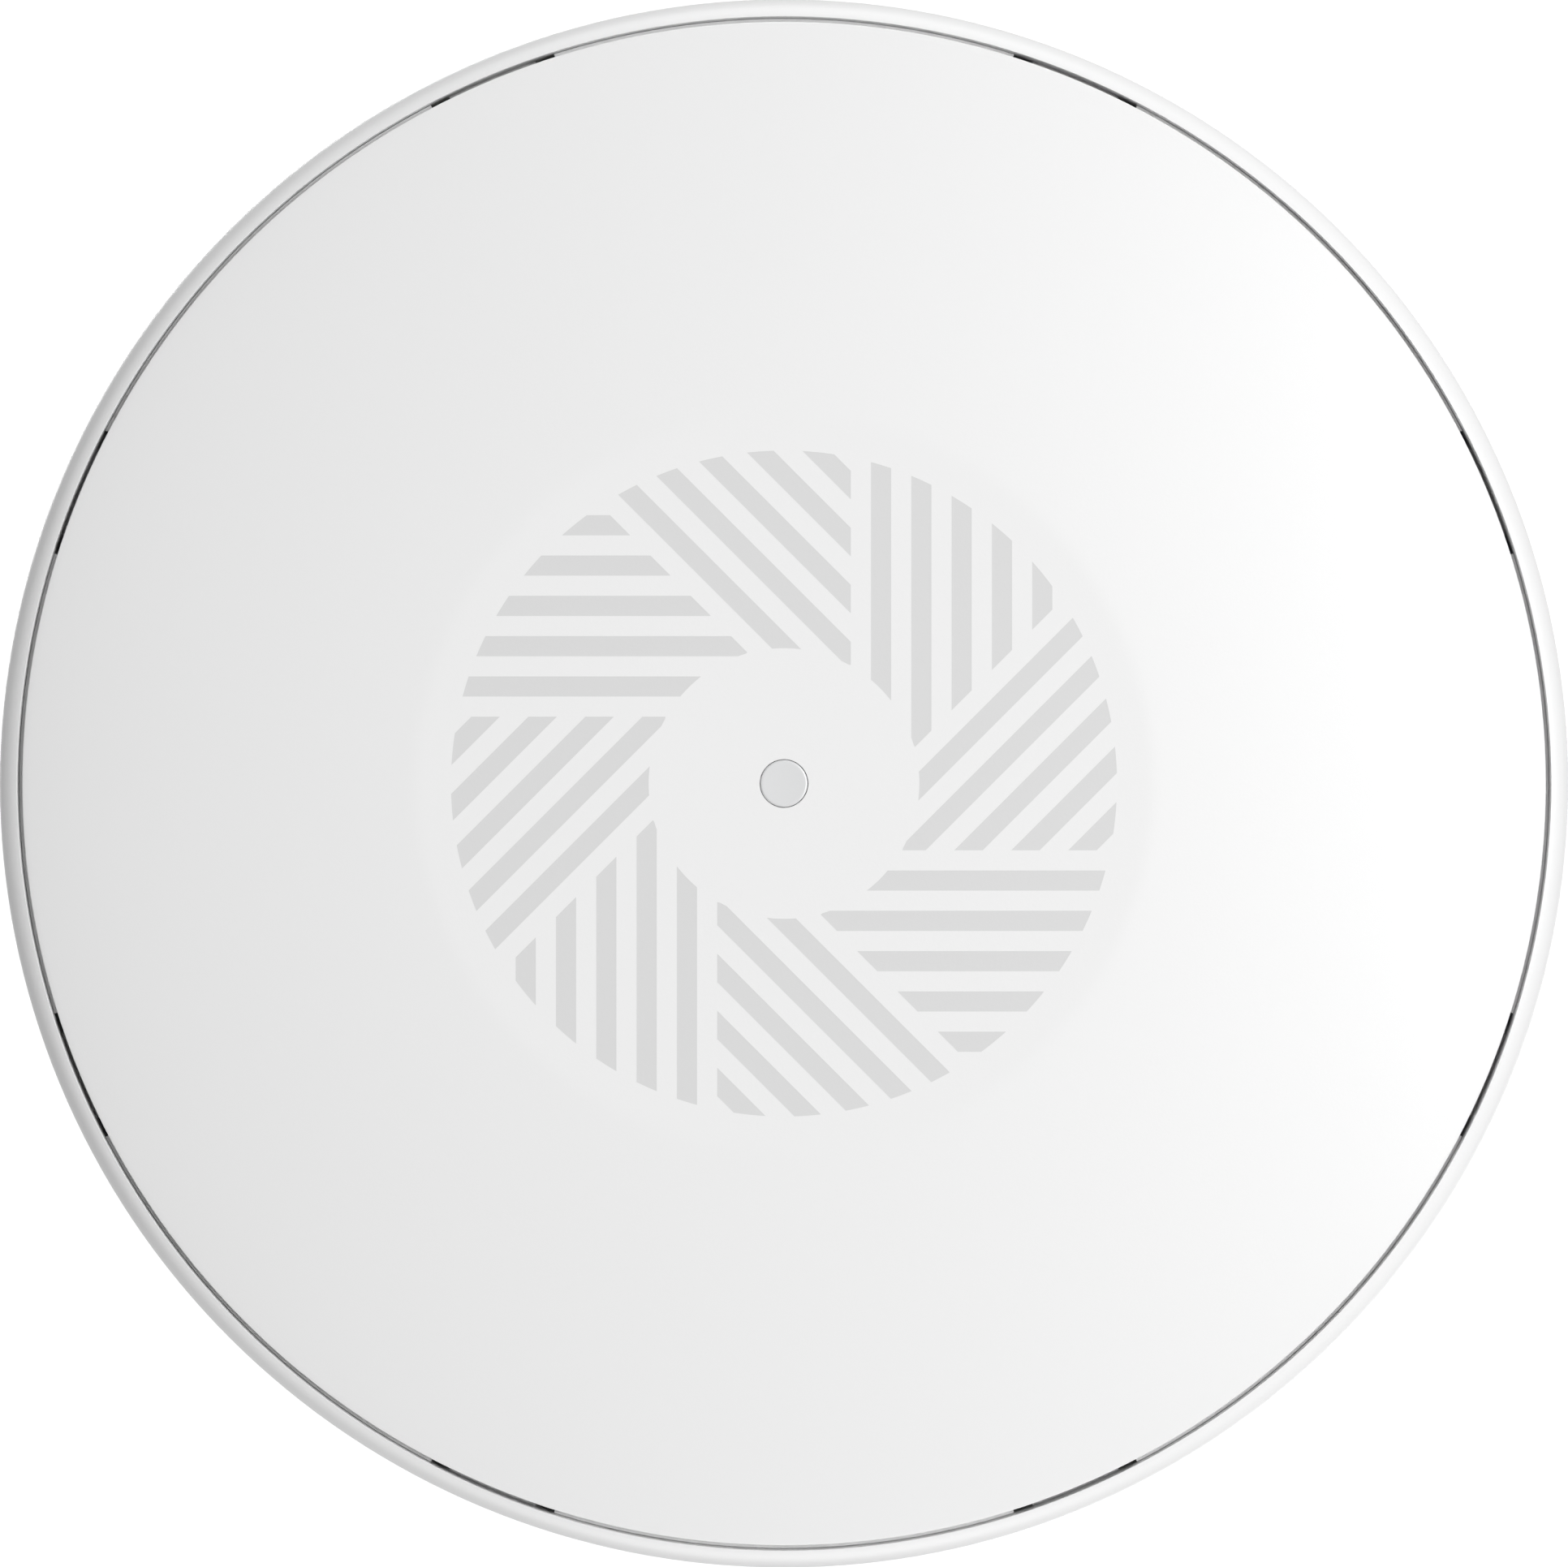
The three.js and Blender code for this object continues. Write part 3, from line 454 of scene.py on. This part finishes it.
jack_doors = [block("door", x - JACK_DOOR_HALF, x + JACK_DOOR_HALF, BAY["y1"] - 0.5, BAY["y1"] + 4, -23, -7.6)
              for x in JACK_X]
reset_hole = rod("reset_hole", 1.6, -3, 3)
in_wall = Matrix.Translation(Vector((RESET_X, BAY["y1"] + 0.7, RESET_Z)) * MM)
reset_hole.data.transform(in_wall @ Matrix.Rotation(math.pi / 2, 4, "X"))
grooves = []
for i in range(FINS):
    groove = prism("groove", box_outline(69.4, 76.8, -2, 2, 0.9), PLATE_TOP_Z - 1, 0)
    groove.data.transform(Matrix.Rotation(math.radians((i + 0.5) * 360 / FINS), 4, "Z"))
    grooves.append(groove)
holes = [rod("hole", 1.7, -8, 0, *polar(BACK_SCREW_R, d), 24) for d in BACK_SCREW_DEG]
holes += [rod("hole", 1.9, -9, 0, *polar(STUD_R, d), 24) for d in STUD_DEG]
boolean(plate, [bay_room, *jack_doors, reset_hole, join("grooves", grooves), join("holes", holes),
                catch_ramp("ramp")])
standoffs = [rod("standoff", 3.2, -21.2, -7.4, *polar(STANDOFF_R, d), 32) for d in STANDOFF_DEG]
plate = join("back_casting", [plate, *standoffs])
place(smooth(plate), "access_point", CAST, "cast_plate", "back_plate")

# ---- Bracket ------------------------------------------------------------------------------------
bracket = lathe("bracket_pressing", rounded(
    [(34, -4.5), (62, -4.5), (62, 0), (60.4, 0), (60.4, -3), (35.4, -3), (35.4, -1.6), (34, -1.6)],
    [0.9, 1.3, 0.25, 0.25, 0.5, 0.3, 0.25, 0.25]))
SLOT_R, SLOT_DEG, PAD_R = 51.5, (60, 180, 300), 57.5
embossed = []
for deg in SLOT_DEG:
    boss = lathe("boss", [(0, 0), *rounded([(3, 0), (6.5, 0), (6.5, -3.5)], [0, 0.5, 0])[1:], (0, -3.5)], 48)
    embossed.append(shift(boss, *polar(SLOT_R, deg)))
boolean(bracket, [join("bosses", embossed)], "UNION")
hollows = [rod("hollow", 5.2, -6, -1.4, *polar(SLOT_R, d)) for d in SLOT_DEG]
half_slot = math.degrees(2.5 / SLOT_R)
screw_slots = [curved_slot("slot", SLOT_R, 2, d - half_slot, d + half_slot, -9, 3) for d in SLOT_DEG]
key_slots = [curved_slot("key", STUD_R, 2.9, d + UNLOCK_DEG, d, -9, 3) for d in STUD_DEG]
key_entries = [rod("entry", 5.2, -9, 3, *polar(STUD_R, d + UNLOCK_DEG)) for d in STUD_DEG]
small = [rod("small", 2, -9, 3, s * 41.65, 0, 32) for s in (-1, 1)]
small += [rod("small", 1.5, -9, 3, x, PIN_Y, 24) for x in RIVET_X]
small.append(rod("small", 2.6, -9, 3, PIN_X, PIN_Y, 40))
boolean(bracket, [join("hollows", hollows), join("screw_slots", screw_slots), join("key_slots", key_slots),
                  join("key_entries", key_entries), join("small", small)])
place(smooth(bracket), "ceiling_mount", ZINC, "zinc_bracket", "ceiling_bracket")

# ---- Turned parts -------------------------------------------------------------------------------
def turned_at(name, profile, x, y, steps=48):
    return shift(lathe(name, profile, steps), x, y)


def screw(name, x, y, z, turn):
    """A slotted pan-head screw, whose shank points away from the ceiling."""
    head, head_t, shank, length = 2.8, 1.3, 1.3, 8
    face = z + head_t
    corner = rounded([(0.5, face), (head, face), (head, z)], [0, 0.5, 0])[1:]
    made = turned_at(name, [(0, face), *corner, (shank, z), (shank, z - length), (0, z - length)], x, y)
    cutter = block("cutter", -head - 1, head + 1, -0.4, 0.4, face - 0.6, face + 1)
    cutter.data.transform(Matrix.Rotation(math.radians(turn), 4, "Z"))
    return boolean(made, [shift(cutter, x, y)])


for i, deg in enumerate(BACK_SCREW_DEG):
    made = screw(f"plate_screw_{i + 1}", *polar(BACK_SCREW_R, deg), PLATE_TOP_Z + 0.05, 20 + 50 * i)
    place(smooth(made), "access_point", STEEL, "steel_fasteners", f"back_screw_{i + 1}")
for i, deg in enumerate(STUD_DEG):
    head = rounded([(1, -1), (4.4, -1), (4.4, -2.7), (2.4, -2.7)], [0, 0.4, 0.2, 0])[1:]
    made = turned_at(f"stud_{i + 1}", [(0, -1), *head, (2.4, -5.45), (1.6, -5.45), (1.6, -7.9), (0, -7.9)],
                     *polar(STUD_R, deg))
    place(smooth(made), "access_point", STEEL, "steel_fasteners", f"twist_stud_{i + 1}")
for i, deg in enumerate(SLOT_DEG):
    crown = rounded([(1, -4.8), (2.6, -4.8), (2.6, -5.45)], [0, 0.3, 0])[1:]
    made = turned_at(f"pad_{i + 1}", [(0, -4.8), *crown, (0, -5.45)], *polar(PAD_R, deg))
    place(smooth(made), "access_point", RUBBER, "black_rubber", f"bumper_pad_{i + 1}")
for i, x in enumerate(RIVET_X):
    head = rounded([(0.5, -1.6), (2.1, -1.7), (2.1, -2.45)], [0, 0.5, 0])[1:]
    made = turned_at(f"rivet_{i + 1}", [(0, -1.6), *head, (1.2, -2.45), (1.2, -4.55), (2, -4.55), (2, -5),
                                        (0, -5)], x, PIN_Y)
    place(smooth(made), "ceiling_mount", STEEL, "steel_fasteners", f"spring_rivet_{i + 1}")
tip = rounded([(0.3, PIN_TIP), (0.9, PIN_TIP), (PIN_R, PIN_TIP + 1.1), (PIN_R, -2.95)], [0, 0.5, 0.5, 0])[1:]
crown = rounded([(1.9, -2.2), (1.9, -1.6), (0.5, -1.6)], [0, 0.35, 0])[1:-1]
pin = turned_at("catch_nub", [(0, PIN_TIP), *tip, (1, -2.95), (1, -2.45), (1.9, -2.45), *crown, (0, -1.6)],
                PIN_X, PIN_Y)
place(smooth(pin), "catch", STEEL, "steel_fasteners", "catch_pin")


def leaf_spring(name, x0, x1, y, half, z0, z1, steps=60):
    """A strip with one round end, made in short steps along its length."""
    verts, faces = [], []
    for i in range(steps + 1):
        x = x1 + (x0 - half - x1) * i / steps
        w = half if x >= x0 else math.sqrt(max(0.02, half**2 - (x0 - x) ** 2))
        verts += [(x, y - w, z0), (x, y + w, z0), (x, y + w, z1), (x, y - w, z1)]
    for i in range(steps):
        a, b = 4 * i, 4 * i + 4
        faces += [(a + k, a + (k + 1) % 4, b + (k + 1) % 4, b + k) for k in range(4)]
    faces += [(0, 1, 2, 3), tuple(4 * steps + k for k in (3, 2, 1, 0))]
    return mesh_object(name, verts, faces)


leaf = leaf_spring("leaf_spring", -13, 13, PIN_Y, 4, -2.9, -2.5)
leaf.data.materials.append(SPRING)
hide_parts("lock_spring")
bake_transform(smooth(leaf))

# ---- Inside the sockets -------------------------------------------------------------------------
CONTACTS, CONTACT_PITCH = 8, 1.02
MOUTH_Y, BACK_Y, MOUTH_HALF, MOUTH_LOW, MOUTH_HIGH, LINER_T = 34.6, 47.1, 5.8, 2.3, 10.3, 0.25


def socket_contact(x, z):
    """One sprung contact, which climbs from the socket's sill towards its back."""
    ends = ((36.4, z + 0.45), (46, z + 3.4))
    verts = [(x + dx, y, height + dz) for dx in (-0.2, 0.2) for y, height in ends for dz in (0, 0.3)]
    faces = [(0, 1, 3, 2), (4, 6, 7, 5), (0, 2, 6, 4), (1, 5, 7, 3), (0, 4, 5, 1), (2, 3, 7, 6)]
    return mesh_object("contact", verts, faces)


for name, x in zip(("uplink", "lan"), JACK_X):
    z0, z1 = JACK_Z0 + MOUTH_LOW, JACK_Z0 + MOUTH_HIGH
    left, right = x - MOUTH_HALF, x + MOUTH_HALF
    liner = [block("wall", a, a + LINER_T, MOUTH_Y, BACK_Y, z0, z1) for a in (left, right - LINER_T)]
    liner.append(block("back", left + 0.3, right - 0.3, BACK_Y - LINER_T, BACK_Y, z0, z1))
    liner.append(block("sill", left + 0.3, right - 0.3, MOUTH_Y, BACK_Y - 0.3, z0, z0 + LINER_T))
    contacts = [socket_contact(x + (i - (CONTACTS - 1) / 2) * CONTACT_PITCH, z0) for i in range(CONTACTS)]
    for made, finish, slot in ((join(f"{name}_liner", liner), BLACK, "black_moulding"),
                               (join(f"{name}_contacts", contacts), GOLD, "tinned_steel")):
        made.data.materials.append(finish)
        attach(made, "access_point")

# ---- Pieces kept from the part ------------------------------------------------------------------
slot_of = {row["node"]: row["material_slot"] for row in frame["record"]["subparts"]}
for name, node in frame["nodes"].items():
    if node.hide_render:
        continue
    node.data.materials.clear()
    node.data.materials.append(BY_SLOT[slot_of[name]])
    for face in node.data.polygons:
        face.use_smooth = True
    node.data.set_sharp_from_angle(angle=math.radians(30))
    bevel(node, 0.12)

# ---- Studio -------------------------------------------------------------------------------------
scene = bpy.context.scene
scene.view_settings.view_transform = "Standard"
scene.view_settings.look = "None"

world = bpy.data.worlds.new("studio")
scene.world = world
world.use_nodes = True
tree = world.node_tree
sky = tree.nodes["Background"]
direction = tree.nodes.new("ShaderNodeTexCoord")
split = tree.nodes.new("ShaderNodeSeparateXYZ")
ramp = tree.nodes.new("ShaderNodeFloatCurve")  # light from each height: nadir 0, horizon 0.5, zenith 1
ZENITH = 1.12
levels = ((0.0, 0.09), (0.42, 0.1), (0.47, 0.14), (0.57, 0.14), (0.66, 0.22), (0.84, 0.65), (0.955, 0.8),
          (0.975, ZENITH), (1.0, ZENITH))
curve = ramp.mapping.curves[0]
curve.points[0].location, curve.points[1].location = (0, levels[0][1] / ZENITH), (1, 1)
for height, level in levels[1:-1]:
    curve.points.new(height, level / ZENITH)
for point in curve.points:
    point.handle_type = "VECTOR"
ramp.mapping.update()
lift = tree.nodes.new("ShaderNodeMath")
lift.operation = "MULTIPLY_ADD"
lift.inputs[1].default_value, lift.inputs[2].default_value = 0.5, 0.5
scale = tree.nodes.new("ShaderNodeMath")
scale.operation = "MULTIPLY"
scale.inputs[1].default_value = ZENITH
tree.links.new(direction.outputs["Generated"], split.inputs["Vector"])
tree.links.new(split.outputs["Z"], lift.inputs[0])
tree.links.new(lift.outputs["Value"], ramp.inputs["Value"])
tree.links.new(ramp.outputs["Value"], scale.inputs[0])
tree.links.new(scale.outputs["Value"], sky.inputs["Strength"])
sky.inputs["Color"].default_value = (1, 1, 1, 1)

CENTRE = Vector((0, 0, -0.02))


def panel(name, distance, off_nadir, azimuth, half_angle, radiance):
    """A round soft box, given as it is seen from the object."""
    down, turn = math.radians(off_nadir), math.radians(azimuth)
    way = Vector((math.sin(down) * math.cos(turn), math.sin(down) * math.sin(turn), -math.cos(down)))
    radius = distance * math.tan(math.radians(half_angle))
    light = bpy.data.lights.new(name, "AREA")
    light.shape, light.size, light.energy = "DISK", 2 * radius, radiance * (math.pi * radius) ** 2
    obj = bpy.data.objects.new(name, light)
    scene.collection.objects.link(obj)
    obj.location = CENTRE + way * distance
    obj.rotation_euler = (-way).to_track_quat("-Z", "Y").to_euler()
    obj.visible_camera = False


panel("key", 2.6, 34, -8, 22, 6.25)
panel("graze_near", 2.6, 80, -90, 25, 2.15)
panel("graze_far", 2.6, 80, 90, 25, 2.45)
panel("graze_left", 2.6, 94, 180, 22, 1.3)
panel("top_left", 2.2, 158, -140, 14, 3)
panel("top_right", 2.2, 158, 40, 14, 2)

# A pale floor that curves up into a wall. Only the camera sees it, so the panels light the object past it.
FLOOR_Z, WALL_R, WALL_TOP_Z, COVE_R, FLOOR_GLOW = -1500, 9000, 5500, 2500, 0.42
cove = [polar(COVE_R, a) for a in range(-85, 1, 5)]
sweep = [(0, FLOOR_Z), (WALL_R - COVE_R, FLOOR_Z)]
sweep += [(WALL_R - COVE_R + x, FLOOR_Z + COVE_R + z) for x, z in cove]
sweep += [(WALL_R, WALL_TOP_Z), (WALL_R + 50, WALL_TOP_Z), (WALL_R + 50, FLOOR_Z - 50), (0, FLOOR_Z - 50)]
floor = smooth(lathe("floor", sweep, 96))
paint = material("floor", (0.35, 0.35, 0.35), 0.9, mottle=0.01)
glow = paint.node_tree.nodes["Principled BSDF"].inputs
glow["Emission Color"].default_value = (1, 1, 1, 1)
glow["Emission Strength"].default_value = FLOOR_GLOW
floor.data.materials.append(paint)
floor.visible_shadow = floor.visible_diffuse = floor.visible_glossy = False

FOCAL, SENSOR = 150, 36
RIM_Z, REACH = -30, 99.77  # the rim's plane, and half of the picture's width in it
camera = bpy.data.objects.new("camera", bpy.data.cameras.new("camera"))
scene.collection.objects.link(camera)
scene.camera = camera
camera.data.lens, camera.data.sensor_width = FOCAL, SENSOR
camera.rotation_euler = (math.pi, 0, 0)
camera.location = (0, 0, (RIM_Z - REACH * FOCAL / (SENSOR / 2)) * MM)
camera.data.clip_end = 500
